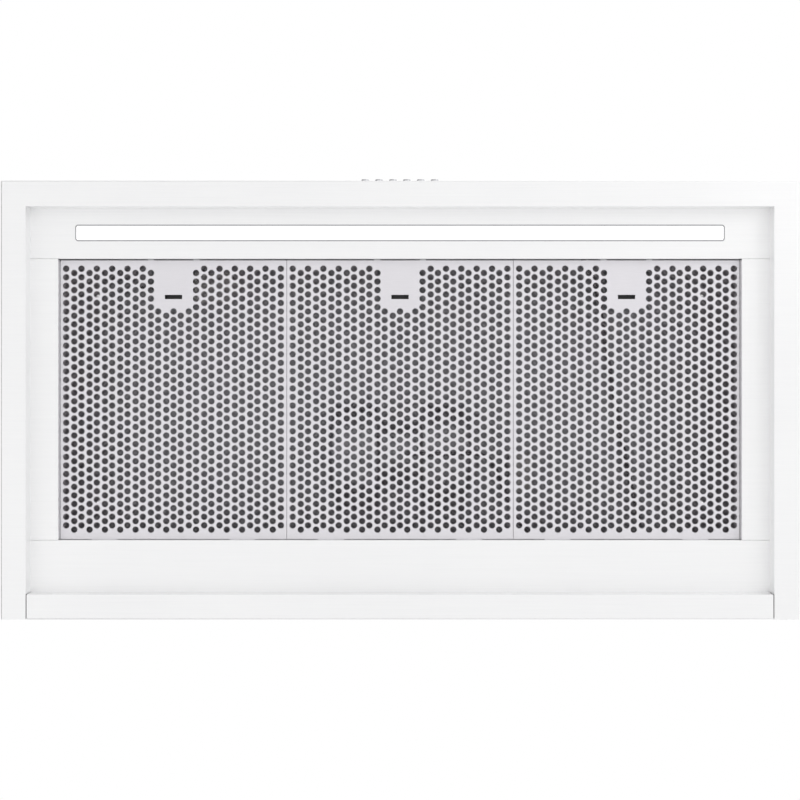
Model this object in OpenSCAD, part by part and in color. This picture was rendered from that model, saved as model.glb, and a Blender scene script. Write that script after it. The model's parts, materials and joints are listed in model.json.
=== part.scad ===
// Under cabinet range hood, seen from below as one pressed canopy round three perforated filters.
// Frame: X to the right seen from the front, -Y to the front, +Y to the wall, Z up.
// Origin: centre of the four cabinet screws, on the top face. The hood hangs below Z = 0.

/* [Body] */
// Width over the sides
body_w = 911; // [740:1:1100]
// Depth from the front to the wall
body_d = 501; // [410:1:610]
// Height from the rim to the top face
body_h = 178; // [146:1:220]
// Thickness of the body sheet
sheet_t = 1; // [0.7:0.1:1.5]
// Outside radius of the sheet bends
bend_r = 2; // [1.8:0.1:4]
// Width of the inward flange round the top
top_lip_w = 12; // [8:1:16]

/* [Rim and recess] */
// Width of the bottom rim at each side
side_rim_w = 28.5; // [22:0.5:36]
// Width of the bottom rim at the front
front_rim_w = 29.5; // [26:0.5:40]
// Width of the bottom rim at the rear
rear_rim_w = 28.5; // [22:0.5:36]
// Depth from the rim up to the liner
recess_h = 20; // [14:1:28]
// Width of the lip that carries the liner
liner_lip_w = 9; // [6:1:10]
// Gap at each end of the rear rim
rear_seam = 1; // [0.5:0.1:2]

/* [Liner] */
// Thickness of the liner sheet
liner_t = 0.8; // [0.6:0.1:1.2]
// Depth of the front liner, which holds the lamp
front_liner_w = 57.8; // [48:0.1:70]
// Depth of the rear liner
rear_liner_w = 60; // [30:0.1:74]
// Width of each side liner
side_liner_w = 32.3; // [20:0.1:40]
// Height of the turned-up edge round the filter opening
edge_h = 9.2; // [6:0.1:12]
// Gap between liner sheets
liner_seam = 0.3; // [0.1:0.1:0.6]

/* [Lamp] */
// Distance from each side of the body to the lamp
lamp_inset = 80.5; // [60:0.5:120]
// Width of the lamp slot
lamp_slot_w = 19.3; // [14:0.1:24]
// Corner radius of the lamp slot
lamp_corner_r = 3.4; // [2.5:0.1:5]
// Width of the seal round the lens
lamp_seal_w = 1.8; // [0.8:0.1:2.2]
// Distance from the front of the liner to the middle of the lamp
lamp_setback = 28.1; // [20:0.1:34]
// Height of the lamp channel
lamp_channel_h = 15; // [12:1:20]

/* [Filters] */
// Gap between neighbouring filters
filter_gap = 0.4; // [0.3:0.1:2]
// Gap between an outer filter and the opening
filter_side_gap = 0.5; // [0.4:0.05:2]
// Gap in front of each filter
filter_front_gap = 1.1; // [0.9:0.1:2]
// Gap behind each filter
filter_rear_gap = 0.5; // [0.5:0.1:2]
// Thickness of a filter
filter_h = 9; // [8:0.5:12]
// Thickness of the filter sheet
filter_t = 0.7; // [0.5:0.1:1]
// Diameter of a filter hole
hole_d = 7.3; // [5:0.1:7.5]
// Distance between holes in one column
hole_pitch = 9.93; // [9.5:0.01:13]
// Distance between paired columns of holes
column_pair = 17.8; // [17:0.1:24]
// Distance from an even column to the next odd one
column_step = 8.4; // [8.2:0.1:10]
// Length of the finger slot
finger_slot_l = 20; // [16:0.5:26]
// Width of the finger slot
finger_slot_w = 4.9; // [4:0.1:6]

/* [Latches] */
// Distance from the filter's middle to each prong
prong_x = 26.5; // [20:0.5:27]
// Width of a prong
prong_w = 7; // [5:0.5:8]
// Travel of the latch
latch_travel = 3; // [2:0.1:3]

/* [Buttons] */
// Diameter of a button
button_d = 9.2; // [7:0.1:10]
// Distance between buttons
button_pitch = 16; // [14:0.5:20]
// Height of the buttons above the rim
button_z = 19; // [14:0.5:30]
// How far a button stands out
button_out = 3.7; // [3:0.1:5]
// Travel of a button
button_travel = 2; // [1:0.1:2.5]

/* [Duct and blower] */
// Outside radius of the duct collar
collar_r = 88.2; // [84:0.1:100]
// Height of the duct collar
collar_h = 50; // [40:1:70]
// Distance from the wall to the middle of the duct
duct_setback = 140.5; // [128:0.5:170]
// Half the room between the two scrolls, for the motor
motor_half = 27; // [26:0.5:30]
// Width of each scroll
scroll_w = 52; // [44:1:56]
// Room over the scrolls
blower_gap_top = 6; // [4:1:10]
// Room between the scrolls and the filters
blower_gap_low = 14; // [8:1:20]
// Radius of the motor shaft
shaft_r = 4; // [3:0.5:5]

/* [Fixings] */
// Distance from the side of the body to a cabinet screw
mount_side_inset = 75.5; // [60:0.5:100]
// Distance from the front or the wall to a cabinet screw
mount_end_inset = 120.5; // [90:0.5:140]
// Radius of a cabinet screw hole
mount_hole_r = 3.25; // [2.5:0.05:4]
// Radius of the supply cable hole in its bush
cable_r = 8; // [6:0.5:9]

/* [Hidden] */

fine = 48;
over = 1;

// Levels
z_rim = -body_h;
z_liner = z_rim + recess_h;
z_face = z_liner + edge_h;
z_panel = -sheet_t;

// Recess and filter opening
recess_x = body_w / 2 - side_rim_w;
recess_front = -body_d / 2 + front_rim_w;
recess_rear = body_d / 2 - rear_rim_w;
opening_x = recess_x - side_liner_w;
opening_front = recess_front + front_liner_w;
opening_rear = recess_rear - rear_liner_w;
inner_x = body_w / 2 - sheet_t;
inner_front = -body_d / 2 + sheet_t;
inner_rear = body_d / 2 - sheet_t;
fit = 0.2;

// Filters
filter_w = (2 * opening_x - 2 * filter_side_gap - 2 * filter_gap) / 3;
filter_step = filter_w + filter_gap;
filter_front = opening_front + filter_front_gap;
filter_rear = opening_rear - filter_rear_gap;
filter_d = filter_rear - filter_front;
hole_margin_side = 6;
hole_margin_front = 9.7;
hole_margin_rear = 10;
blank_columns = 2;
blank_rows = 5;
hole_rows = floor((filter_d - hole_margin_front - hole_margin_rear - hole_pitch / 2) / hole_pitch) + 1;
hole_columns = max([for (k = [0:60]) if (column_x(k) <= filter_w / 2 - hole_margin_side) k]);
finger_slot_y = filter_front + 42.5;
tray_lip_w = 4;
tab_w = 30;
tab_x = 80;
tab_t = 1;
tab_lap = 8;
tab_gap = 0.15;

// Latches
latch_gap = 0.2;
latch_t = 1.5;
latch_bar_half = prong_x + prong_w / 2;
latch_bar_y = [filter_front + filter_t + 0.9, filter_front + 5.6];
latch_rear = finger_slot_y - finger_slot_w / 2 - 0.15;
latch_wall_t = 2.6;
channel_half = column_x(blank_columns + 1) - hole_d / 2 + 0.45;
channel_t = 0.8;
channel_h = 6.5;
channel_y = [latch_bar_y[1] + latch_travel + latch_gap, filter_front + 54];
latch_half = channel_half - channel_t - latch_gap;
spring_x = (finger_slot_l / 2 + latch_half) / 2;
spring_coil_r = 2.1;
spring_wire_r = 0.3;
spring_turns = 5;

// Buttons
button_r = button_d / 2;
button_gap = 0.2;
button_flange_r = button_r + 1;
button_flange_t = 1;
button_tip = 5.5;
board_t = 1.6;
control_half = 2.5 * button_pitch + 18;
control_depth = 13.5;
control_h = 22;
control_wall = 1.5;

// Duct, flaps and blower
duct_y = body_d / 2 - duct_setback;
collar_t = 1;
collar_flange_r = collar_r + 13;
collar_in_r = collar_r - collar_t;
pin_z = 22;
pin_r = 2;
knuckle_r = 3.4;
knuckle_gap = 0.1;
knuckle_l = 18;
flap_t = 0.8;
flap_low = 4.4;
flap_r = collar_in_r - 1.2;
ledge_w = 5;
plate_t = 1.5;
z_plate = z_panel - plate_t;
tongue_ratio = 0.38;
spiral_growth = 0.42;
tongue_angle = acos(tongue_ratio);
spiral_top = 1 + spiral_growth * (90 - tongue_angle) / (360 - tongue_angle);
spiral_low = 1 + spiral_growth * (270 - tongue_angle) / (360 - tongue_angle);
scroll_room = z_plate - blower_gap_top - blower_gap_low - (z_face + filter_h);
scroll_r = scroll_room / (spiral_top + spiral_low);
outlet_d = scroll_r * (1 + spiral_growth - tongue_ratio);
blower_y = duct_y - scroll_r * (1 + spiral_growth) + outlet_d / 2;
blower_z = z_plate - blower_gap_top - scroll_r * spiral_top;
scroll_t = 0.8;
wheel_r = scroll_r - 4.5;
wheel_gap = 2;
wheel_w = scroll_w - 2 * scroll_t - 2 * wheel_gap;
blade_depth = 8;
blade_t = 0.9;
blade_count = 36;
wheel_ring_t = 1.2;
hub_r = 10;
inlet_r = wheel_r - blade_depth;
motor_r = 0.75 * scroll_r;
motor_w = 2 * motor_half - 10;
motor_t = 1.5;
stator_r = motor_r - motor_t;
rotor_r = 0.6 * stator_r;
air_gap = 0.5;
plate_half_x = motor_half + scroll_w + 26;
plate_half_y = collar_in_r + 11;

// Electrical parts under the top panel
box_x = body_w / 2 - 150.5;
box_y = body_d / 2 - 62;
box_half_x = 52;
box_half_y = 32;
box_h = 45;
driver_x = -body_w / 2 + 205;
driver_y = -body_d / 2 + 110;
capacitor_x = 150;
bush_r = cable_r + 3;
bush_flange_r = bush_r + 3;

// Screws
screw_r = 1.9;
screw_gap = 0.1;
screw_head_r = 3.6;
screw_head_h = 1.8;
screw_l = 7;
panel_screw_columns = 4;
panel_screw_inset = sheet_t + top_lip_w / 2 + fit;
panel_screw_points = concat(
    [for (i = [0:panel_screw_columns - 1], s = [-1, 1])
        [(i / (panel_screw_columns - 1) - 0.5) * (body_w - 160), s * (body_d / 2 - panel_screw_inset)]],
    [for (i = [0:2], s = [-1, 1])
        [s * (body_w / 2 - panel_screw_inset), (i / 2 - 0.5) * (body_d - 120)]]);
blower_screw_points = [for (i = [-1, 1], s = [-1, 1])
    [i * (plate_half_x - 7), duct_y + s * (plate_half_y - 7)]];
collar_screw_points = [for (a = [30:60:330])
    [(collar_r + 7) * cos(a), duct_y + (collar_r + 7) * sin(a)]];
mount_points = [for (i = [-1, 1], s = [-1, 1])
    [i * (body_w / 2 - mount_side_inset), s * (body_d / 2 - mount_end_inset)]];

// Leads, held along the underside of the top panel
lead_r = 3;
control_lead_points = [[300, 156.5, -20], [280, 60, -14], [260, -60, -10], [240, -160, -10], [190, -215, -14],
    [120, -238, -60], [70, -240, -100], [43, -242, -126], [40, -242, -138], [40, -242, -147.6]];
motor_lead_points = [[253, 190, -24], [235, 189, -23], [200, 180, -20], [150, 155, -45], [126, 110, -85],
    [100, 66, -128], [40, 64, -132], [14, 64, -122], [12, 64, -98.5]];
lamp_lead_points = [[-290.5, -140.5, -13], [-310, -140, -13], [-335, -145, -20], [-350, -165, -60],
    [-352, -185, -110], [-352, -192.9, -130], [-352, -192.9, -142.2]];

steel = [0.86, 0.86, 0.87];
zinc = [0.72, 0.73, 0.75];
dark = [0.2, 0.2, 0.22];
plastic = [0.75, 0.75, 0.73];
copper = [0.72, 0.45, 0.25];

// Distance of column k from the middle one
function column_x(k) = column_pair * floor(abs(k) / 2) + (abs(k) % 2) * column_step;

// Points of a spiral from the tongue once round, shrunk by inset
function spiral_points(inset) =
    let (start = acos((tongue_ratio * scroll_r + inset) / (scroll_r - inset)))
    [for (i = [0:40])
        let (a = start + (360 - start) * i / 40)
        (scroll_r * (1 + spiral_growth * (a - tongue_angle) / (360 - tongue_angle)) - inset) * [cos(a), sin(a)]];

// Smooth route through points, with steps places between neighbours
function route(points, steps) = let (n = len(points) - 1) concat(
    [for (i = [0:n - 1], j = [0:steps - 1])
        let (a = points[max(i - 1, 0)], b = points[i], c = points[i + 1], d = points[min(i + 2, n)], t = j / steps)
        b + t * (c - a) / 2 + t * t * (2 * a - 5 * b + 4 * c - d) / 2 + t * t * t * (3 * b - a - 3 * c + d) / 2],
    [points[n]]);

function unit(v) = v / norm(v);
function direction(path, i) = unit(path[min(i + 1, len(path) - 1)] - path[max(i - 1, 0)]);

// Box from two corners, given as a range along each axis
module block(x, y, z) {
    translate([x[0], y[0], z[0]]) cube([x[1] - x[0], y[1] - y[0], z[1] - z[0]]);
}

// Cylinder along X between two places
module rod_x(x, y, z, r) {
    translate([x[0], y, z]) rotate([0, 90, 0]) cylinder(r = r, h = x[1] - x[0], $fn = fine);
}

// Cylinder along Y between two places
module rod_y(x, y, z, r) {
    translate([x, y[1], z]) rotate([90, 0, 0]) cylinder(r = r, h = y[1] - y[0], $fn = fine);
}

// Round bar swept along a path, with side as a vector that the path never follows
module tube(path, r, sides, side) {
    rings = len(path);
    points = [for (i = [0:rings - 1])
        let (t = direction(path, i), u = unit(cross(t, side)), v = cross(t, u))
        for (j = [0:sides - 1]) path[i] + r * (cos(360 * j / sides) * u + sin(360 * j / sides) * v)];
    ends = [[for (j = [0:sides - 1]) j], [for (j = [sides - 1:-1:0]) (rings - 1) * sides + j]];
    walls = [for (i = [0:rings - 2], j = [0:sides - 1])
        let (a = i * sides + j, b = i * sides + (j + 1) % sides)
        for (face = [[a, a + sides, b + sides], [a, b + sides, b]]) face];
    polyhedron(points = points, faces = concat(ends, walls), convexity = 10);
}

// Rectangle with its two lower corners rounded
module bent_outline(x, y, r) {
    translate([x[0] + r, y[0]]) square([x[1] - x[0] - 2 * r, y[1] - y[0]]);
    translate([x[0], y[0] + r]) square([x[1] - x[0], y[1] - y[0] - r]);
    for (cx = [x[0] + r, x[1] - r]) translate([cx, y[0] + r]) circle(r = r, $fn = fine);
}

// Rectangle about the middle with round corners
module round_plate(w, d, r) {
    square([w, d - 2 * r], center = true);
    square([w - 2 * r, d], center = true);
    for (i = [-1, 1], j = [-1, 1]) translate([i * (w / 2 - r), j * (d / 2 - r)]) circle(r = r, $fn = fine);
}

// Upright cylinders at a list of places
module holes_at(points, r, z) {
    for (p = points) translate([p[0], p[1], z[0]]) cylinder(r = r, h = z[1] - z[0], $fn = fine);
}

module pan_screws(points, length) {
    for (p = points) translate([p[0], p[1], 0]) {
        cylinder(r1 = screw_head_r, r2 = screw_head_r - 1, h = screw_head_h, $fn = fine);
        translate([0, 0, -length]) cylinder(r = screw_r, h = length, $fn = fine);
    }
}

// Body outline drawn in by inset, rounded at the front corners and along the lower bends
module body_form(inset, rear, top) {
    r = bend_r - inset;
    x = [-body_w / 2 + inset, body_w / 2 - inset];
    front = -body_d / 2 + inset;
    low = z_rim + inset;
    intersection() {
        translate([0, 0, low]) linear_extrude(top - low) bent_outline(x, [front, rear], r);
        translate([0, rear, 0]) rotate([90, 0, 0]) linear_extrude(rear - front) bent_outline(x, [low, top], r);
        translate([x[0], 0, 0]) rotate([90, 0, 90]) linear_extrude(x[1] - x[0])
            bent_outline([front, rear + 2 * r], [low, top], r);
    }
}

module button_holes() {
    for (i = [0:5]) rod_y((i - 2.5) * button_pitch, [-body_d / 2 - over, inner_front + over], z_rim + button_z,
        button_r + button_gap);
}

// Front and both sides in one sheet, with the rim, the recess walls and the lips for the liner
module canopy_shell() color(steel) {
    wall_rear = inner_rear - fit;
    difference() {
        body_form(0, body_d / 2, 0);
        body_form(sheet_t, body_d / 2 + over, z_panel - sheet_t);
        block([-inner_x, inner_x], [inner_front, body_d / 2 + over], [z_panel, over]);
        block([-inner_x + top_lip_w, inner_x - top_lip_w], [inner_front + top_lip_w, body_d / 2 + over],
            [z_panel - sheet_t - over, over]);
        block([-inner_x, inner_x], [wall_rear, body_d / 2 + over], [z_panel - sheet_t - over, over]);
        block([-recess_x, recess_x], [recess_front, body_d / 2 + over], [z_rim - over, z_rim + bend_r]);
        button_holes();
        holes_at(panel_screw_points, screw_r + screw_gap, [z_panel - sheet_t - over, over]);
    }
    for (s = [0, 1]) mirror([s, 0, 0]) {
        block([recess_x, recess_x + sheet_t], [recess_front - sheet_t, wall_rear], [z_rim, z_liner]);
        block([recess_x, recess_x + liner_lip_w], [recess_front - sheet_t, wall_rear], [z_liner - sheet_t, z_liner]);
    }
    block([-recess_x, recess_x], [recess_front - sheet_t, recess_front], [z_rim, z_liner]);
    block([-recess_x, recess_x], [recess_front - liner_lip_w, recess_front], [z_liner - sheet_t, z_liner]);
}

// Flat cover that closes the top and carries the blower, the collar and the cabinet screws
module top_panel() color(steel) difference() {
    block([-inner_x + fit, inner_x - fit], [inner_front + fit, body_d / 2], [z_panel, 0]);
    translate([0, duct_y, z_panel - over]) cylinder(r = collar_in_r, h = sheet_t + 2 * over, $fn = 2 * fine);
    holes_at(mount_points, mount_hole_r, [z_panel - over, over]);
    holes_at(concat(panel_screw_points, blower_screw_points, collar_screw_points), screw_r + screw_gap,
        [z_panel - over, over]);
    holes_at([[box_x, box_y]], bush_r, [z_panel - over, over]);
}

// Wall side of the body with its own strip of rim between the side rims
module rear_panel() color(steel) {
    low_x = recess_x - rear_seam;
    wide_x = inner_x - fit;
    bend = [body_d / 2 - bend_r, z_rim + bend_r];
    difference() {
        union() {
            translate([-low_x, 0, 0]) rotate([90, 0, 90]) linear_extrude(2 * low_x) {
                translate(bend) intersection() {
                    difference() {
                        circle(r = bend_r, $fn = fine);
                        circle(r = bend_r - sheet_t, $fn = fine);
                    }
                    translate([0, -bend_r]) square(bend_r);
                }
                translate([recess_rear, z_rim]) square([rear_rim_w - bend_r, sheet_t]);
                translate([inner_rear, bend[1]]) square([sheet_t, -sheet_t - bend[1]]);
                translate([recess_rear, z_rim]) square([sheet_t, recess_h]);
                translate([recess_rear, z_liner - sheet_t]) square([liner_lip_w, sheet_t]);
            }
            block([-wide_x, wide_x], [inner_rear, body_d / 2], [z_rim + sheet_t + fit + bend_r, z_panel]);
            block([-wide_x + top_lip_w, wide_x - top_lip_w], [inner_rear - top_lip_w, body_d / 2],
                [z_panel - sheet_t, z_panel]);
        }
        holes_at(panel_screw_points, screw_r + screw_gap, [z_panel - sheet_t - over, over]);
    }
}

// Front strip of the liner with the lamp slot and the turned-up edge
module front_liner() color(steel) difference() {
    union() {
        block([-recess_x - liner_lip_w, recess_x + liner_lip_w], [recess_front - liner_lip_w, opening_front],
            [z_liner, z_liner + liner_t]);
        block([-opening_x, opening_x], [opening_front - liner_t, opening_front], [z_liner, z_face]);
    }
    translate([0, recess_front + lamp_setback, z_liner - over])
        linear_extrude(liner_t + 2 * over) lamp_outline(0);
}

// Rear strip of the liner; the filters pivot on the round top of its edge
module rear_liner() color(steel) {
    block([-recess_x - liner_lip_w, recess_x + liner_lip_w], [opening_rear, recess_rear + liner_lip_w],
        [z_liner, z_liner + liner_t]);
    block([-opening_x, opening_x], [opening_rear, opening_rear + liner_t], [z_liner, z_face - liner_t / 2]);
    rod_x([-opening_x, opening_x], opening_rear + liner_t / 2, z_face - liner_t / 2, liner_t / 2);
}

module side_liner() color(steel) {
    y = [opening_front + liner_seam, opening_rear - liner_seam];
    block([opening_x, recess_x + liner_lip_w], y, [z_liner, z_liner + liner_t]);
    block([opening_x, opening_x + liner_t], y, [z_liner, z_face]);
}

module left_liner() mirror([1, 0, 0]) side_liner();

module right_liner() side_liner();

// Outline of the lamp slot, drawn in by inset
module lamp_outline(inset) {
    round_plate(body_w - 2 * lamp_inset - 2 * inset, lamp_slot_w - 2 * inset, lamp_corner_r - inset);
}

lamp_lens_t = 1.5;
lamp_lap = 4;
lamp_wall = 1.2;

module lamp_lens() color("white") translate([0, recess_front + lamp_setback, z_liner]) {
    linear_extrude(liner_t) lamp_outline(lamp_seal_w);
    translate([0, 0, liner_t]) linear_extrude(lamp_lens_t)
        square([body_w - 2 * lamp_inset + 2 * lamp_lap, lamp_slot_w + 2 * lamp_lap], center = true);
}

module lamp_seal() color(dark) translate([0, recess_front + lamp_setback, z_liner + 0.2])
    linear_extrude(liner_t - 0.2) difference() {
        lamp_outline(0.05);
        lamp_outline(lamp_seal_w);
    }

// Upturned channel that holds the lens down and carries the light board
module lamp_channel() color(zinc) translate([0, recess_front + lamp_setback, z_liner + liner_t]) {
    l = body_w - 2 * lamp_inset + 2 * lamp_lap + 2 * fit;
    w = lamp_slot_w + 2 * lamp_lap + 2 * fit;
    difference() {
        block([-l / 2 - lamp_wall, l / 2 + lamp_wall], [-w / 2 - lamp_wall, w / 2 + lamp_wall], [0, lamp_channel_h]);
        block([-l / 2, l / 2], [-w / 2, w / 2], [-over, lamp_channel_h - lamp_wall]);
    }
}

module led_board() color("ivory") translate([0, recess_front + lamp_setback, z_liner + liner_t]) {
    l = body_w - 2 * lamp_inset;
    count = floor(l / 25);
    under = lamp_channel_h - lamp_wall - board_t;
    block([-l / 2, l / 2], [-6, 6], [under, under + board_t]);
    for (i = [0:count - 1]) translate([(i - (count - 1) / 2) * 25 - 1.5, -1.5, under - 0.8]) cube([3, 3, 0.8]);
}

module led_driver() color("white") translate([driver_x, driver_y, z_panel]) {
    block([-40, 40], [-18, 18], [-22, 0]);
    block([-48, 48], [-8, 8], [-2, 0]);
}

// Filter sheet with its holes, its blank patch at the latch and its finger slot
module filter_sheet(x) translate([x, 0, z_face]) linear_extrude(filter_t) difference() {
    translate([-filter_w / 2, filter_front]) square([filter_w, filter_d]);
    for (k = [-hole_columns:hole_columns], i = [0:hole_rows - 1])
        if (abs(k) > blank_columns || i >= blank_rows)
            translate([column_x(k) * sign(k), filter_front + hole_margin_front + i * hole_pitch
                + (abs(k) % 2) * hole_pitch / 2]) circle(d = hole_d, $fn = 32);
    translate([-finger_slot_l / 2, finger_slot_y - finger_slot_w / 2]) square([finger_slot_l, finger_slot_w]);
}

// Folded tray: perforated face, four walls, top lips and rear hooks
module filter_tray(x) color(steel) {
    half = filter_w / 2;
    top = z_face + filter_h;
    filter_sheet(x);
    translate([x, 0, 0]) {
        difference() {
            block([-half, half], [filter_front, filter_rear], [z_face + filter_t, top]);
            block([-half + filter_t, half - filter_t], [filter_front + filter_t, filter_rear - filter_t],
                [z_face, top - filter_t]);
            block([-half + tray_lip_w, half - tray_lip_w], [filter_front + tray_lip_w, filter_rear - tray_lip_w],
                [z_face, top + over]);
            for (s = [-1, 1]) block([s * prong_x - prong_w / 2 - 0.4, s * prong_x + prong_w / 2 + 0.4],
                [filter_front - over, filter_front + filter_t + over],
                [z_face + filter_t, z_face + filter_t + latch_t + 3 * latch_gap]);
        }
        for (s = [-1, 1]) block([s * tab_x - tab_w / 2, s * tab_x + tab_w / 2],
            [filter_rear - filter_t, opening_rear + tab_lap], [z_face + tab_gap, z_face + tab_gap + tab_t]);
    }
}

// Bracket on the inside of a filter's sheet that the latch slides in
module latch_channel(x) color(dark) translate([x, 0, 0]) difference() {
    block([-channel_half, channel_half], [channel_y[0], channel_y[1] + channel_t],
        [z_face + filter_t, z_face + channel_h + channel_t]);
    block([-channel_half + channel_t, channel_half - channel_t], [filter_front, channel_y[1]],
        [z_face, z_face + channel_h]);
}

// One corrugated layer of the grease mesh, w wide and d long, with ridges along Y
module mesh_layer(w, d, h) {
    t = 0.35;
    waves = floor(w / 9);
    top = [for (i = [0:2 * waves]) [-w / 2 + i * w / (2 * waves), i % 2 == 0 ? t : h]];
    low = [for (i = [2 * waves:-1:0]) [-w / 2 + i * w / (2 * waves), i % 2 == 0 ? 0 : h - t]];
    translate([0, d / 2, 0]) rotate([90, 0, 0]) linear_extrude(d) polygon(concat(top, low));
}

// Grease mesh: three corrugated layers, each across the next
module filter_mesh(x) color([0.4, 0.4, 0.42]) {
    gap = 0.05;
    w = filter_w - 2 * filter_t - 1;
    d = filter_d - 2 * filter_t - 1;
    h = (filter_h - 2 * filter_t - 4 * gap) / 3;
    difference() {
        translate([x, (filter_front + filter_rear) / 2, z_face + filter_t + gap]) {
            mesh_layer(w, d, h);
            translate([0, 0, h + gap]) rotate([0, 0, 90]) mesh_layer(d, w, h);
            translate([0, 0, 2 * h + 2 * gap]) mesh_layer(w, d, h);
        }
        translate([x, 0, 0]) {
            block([-channel_half - 1, channel_half + 1], [filter_front, channel_y[1] + channel_t + 1],
                [z_face, z_face + filter_h]);
            block([-latch_bar_half - 1, latch_bar_half + 1], [filter_front, channel_y[0]], [z_face, z_face + filter_h]);
        }
    }
}

// Latch slide with two prongs at the front and a wall at the finger slot to push it back by
module latch(x) color(zinc) translate([x, 0, z_face + filter_t + latch_gap]) {
    block([-latch_bar_half, latch_bar_half], latch_bar_y, [0, latch_t]);
    block([-latch_half, latch_half], [latch_bar_y[1], latch_rear], [0, latch_t]);
    block([-latch_half, latch_half], [latch_rear - latch_wall_t, latch_rear],
        [0, channel_h - filter_t - 2 * latch_gap]);
    for (s = [-1, 1]) block([s * prong_x - prong_w / 2, s * prong_x + prong_w / 2],
        [opening_front + latch_gap, latch_bar_y[0]], [0, latch_t]);
}

// Two small compression springs behind the latch
module latch_springs(x) color(zinc) {
    z = z_face + (filter_t + channel_h) / 2;
    start = latch_rear + spring_wire_r;
    length = channel_y[1] - latch_rear - 2 * spring_wire_r;
    steps = 8 * spring_turns;
    for (s = [-1, 1]) tube([for (i = [0:steps])
        [x + s * spring_x + spring_coil_r * cos(45 * i), start + length * i / steps, z + spring_coil_r * sin(45 * i)]],
        spring_wire_r, 6, [0, 1, 0]);
}

module left_filter_tray() filter_tray(-filter_step);

module centre_filter_tray() filter_tray(0);

module right_filter_tray() filter_tray(filter_step);

module left_filter_mesh() filter_mesh(-filter_step);

module centre_filter_mesh() filter_mesh(0);

module right_filter_mesh() filter_mesh(filter_step);

module left_latch_channel() latch_channel(-filter_step);

module centre_latch_channel() latch_channel(0);

module right_latch_channel() latch_channel(filter_step);

module left_latch() latch(-filter_step);

module centre_latch() latch(0);

module right_latch() latch(filter_step);

module left_latch_springs() latch_springs(-filter_step);

module centre_latch_springs() latch_springs(0);

module right_latch_springs() latch_springs(filter_step);

// Push button number i from the left, with a flange behind the front sheet
module button(i) color(steel) {
    x = (i - 2.5) * button_pitch;
    z = z_rim + button_z;
    crown = 0.6;
    flange = inner_front + button_gap + 0.1;
    rod_y(x, [-body_d / 2 - button_out + crown, inner_front + button_tip], z, button_r);
    translate([x, -body_d / 2 - button_out + crown, z]) rotate([90, 0, 0])
        cylinder(r1 = button_r, r2 = button_r - crown, h = crown, $fn = fine);
    rod_y(x, [flange, flange + button_flange_t], z, button_flange_r);
}

module power_button() button(0);

module timer_button() button(1);

module low_button() button(2);

module medium_button() button(3);

module high_button() button(4);

module light_button() button(5);

// Open box behind the front sheet, round the buttons and their board
module control_housing() color(plastic) difference() {
    block([-control_half, control_half], [inner_front, inner_front + control_depth],
        [z_rim + button_z - control_h / 2, z_rim + button_z + control_h / 2]);
    block([-control_half + control_wall, control_half - control_wall],
        [inner_front - over, inner_front + control_depth - control_wall],
        [z_rim + button_z - control_h / 2 + control_wall, z_rim + button_z + control_h / 2 - control_wall]);
}

// Board with one switch behind each button
module control_board() color("darkgreen") {
    rear = inner_front + control_depth - control_wall;
    switch_front = inner_front + button_tip + button_travel + 0.3;
    block([-control_half + control_wall + fit, control_half - control_wall - fit], [rear - board_t, rear],
        [z_rim + button_z - control_h / 2 + control_wall + fit, z_rim + button_z + control_h / 2 - control_wall - fit]);
    for (i = [0:5]) translate([(i - 2.5) * button_pitch, 0, z_rim + button_z])
        block([-3, 3], [switch_front, rear - board_t], [-3, 3]);
}

// Motor can with a bearing boss at each end
module motor_housing() color(zinc) difference() {
    union() {
        rod_x([-motor_w / 2, motor_w / 2], blower_y, blower_z, motor_r);
        rod_x([-motor_half + 1, motor_half - 1], blower_y, blower_z, shaft_r + 5);
    }
    rod_x([-motor_w / 2 + motor_t, motor_w / 2 - motor_t], blower_y, blower_z, stator_r);
    rod_x([-motor_half, motor_half], blower_y, blower_z, shaft_r + 0.05);
}

module motor_stator() color(copper) difference() {
    rod_x([-motor_w / 4, motor_w / 4], blower_y, blower_z, stator_r);
    rod_x([-motor_w / 4 - over, motor_w / 4 + over], blower_y, blower_z, rotor_r + air_gap);
}

module motor_rotor() color(zinc) difference() {
    rod_x([-motor_w / 4, motor_w / 4], blower_y, blower_z, rotor_r);
    rod_x([-motor_w / 4 - over, motor_w / 4 + over], blower_y, blower_z, shaft_r);
}

shaft_end = motor_half + scroll_w / 2 + 18;

module motor_shaft() color(zinc) rod_x([-shaft_end, shaft_end], blower_y, blower_z, shaft_r);

// Band round the motor on two legs from the outlet plate
module motor_bracket() color(zinc) {
    band = 1.5;
    half = 8;
    difference() {
        rod_x([-half, half], blower_y, blower_z, motor_r + band);
        rod_x([-half - over, half + over], blower_y, blower_z, motor_r);
    }
    for (s = [-1, 1]) translate([0, blower_y + s * (motor_r + band / 2), 0]) {
        block([-half, half], [-band / 2, band / 2], [blower_z, z_plate]);
        block([-half, half], s < 0 ? [-8, band / 2] : [-band / 2, 8], [z_plate - band, z_plate]);
    }
}

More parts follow.
